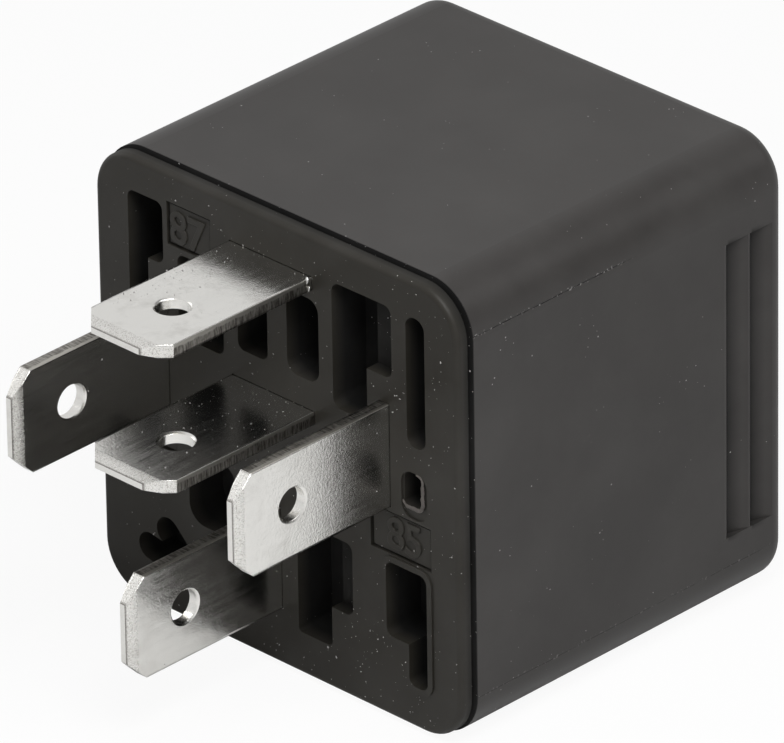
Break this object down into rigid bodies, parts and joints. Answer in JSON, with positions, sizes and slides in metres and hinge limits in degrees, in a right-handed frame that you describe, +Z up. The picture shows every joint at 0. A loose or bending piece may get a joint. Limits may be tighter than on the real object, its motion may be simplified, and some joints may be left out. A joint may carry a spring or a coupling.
{
  "type": "automotive relay",
  "caption": "Plug-in automotive changeover relay: a square moulded housing with flat blade terminals, and a coil, yoke, hinged armature and contacts inside.",
  "frame": {"origin": "middle of the housing at the terminal face, where the relay's face meets its socket", "axes": "-Y along the blades, the way they plug in; +Y into the housing; +Z up as the relay lies on its side, with blade 87 on top; +X to the right seen from the blades"},
  "size_m": [0.028, 0.0377, 0.028],
  "materials": {
    "cover_plastic": "matte black moulded plastic, lightly dusty",
    "base_plastic": "matte black moulded plastic, lightly dusty",
    "blade_metal": "satin tin plating with grainy bevels",
    "magnet_iron": "dull zinc plating",
    "rivet_steel": "zinc plating",
    "bobbin_plastic": "glass-filled moulded plastic",
    "copper_wire": "enamelled copper",
    "spring_bronze": "rolled spring bronze",
    "contact_silver": "silver alloy"
  },
  "bodies": {
    "housing": {"cover": "cover_plastic", "base": "base_plastic", "terminal_30": "blade_metal", "terminal_85": "blade_metal", "terminal_86": "blade_metal", "terminal_87": "blade_metal", "terminal_87a": "blade_metal", "yoke": "magnet_iron", "core": "magnet_iron", "bobbin": "bobbin_plastic", "coil_winding": "copper_wire", "coil_lead_85": "copper_wire", "coil_lead_86": "copper_wire", "frame_rivet": "rivet_steel", "fixed_contact_87": "contact_silver", "fixed_contact_87a": "contact_silver", "yoke_rivet_left": "rivet_steel", "yoke_rivet_right": "rivet_steel"},
    "armature": {"armature": "magnet_iron", "contact_spring": "spring_bronze", "moving_contact": "contact_silver", "armature_rivet_left": "rivet_steel", "armature_rivet_right": "rivet_steel"}
  },
  "joints": [
    {"name": "armature_hinge", "type": "hinge", "parent": "housing", "child": "armature", "pos_m": [0, 0.01897, -0.011], "axis": [1, 0, 0], "range_deg": [0, 2.6], "stiffness_Nm_per_rad": 0.2, "springref_deg": -3.44, "deforming": ["contact_spring"]}
  ]
}
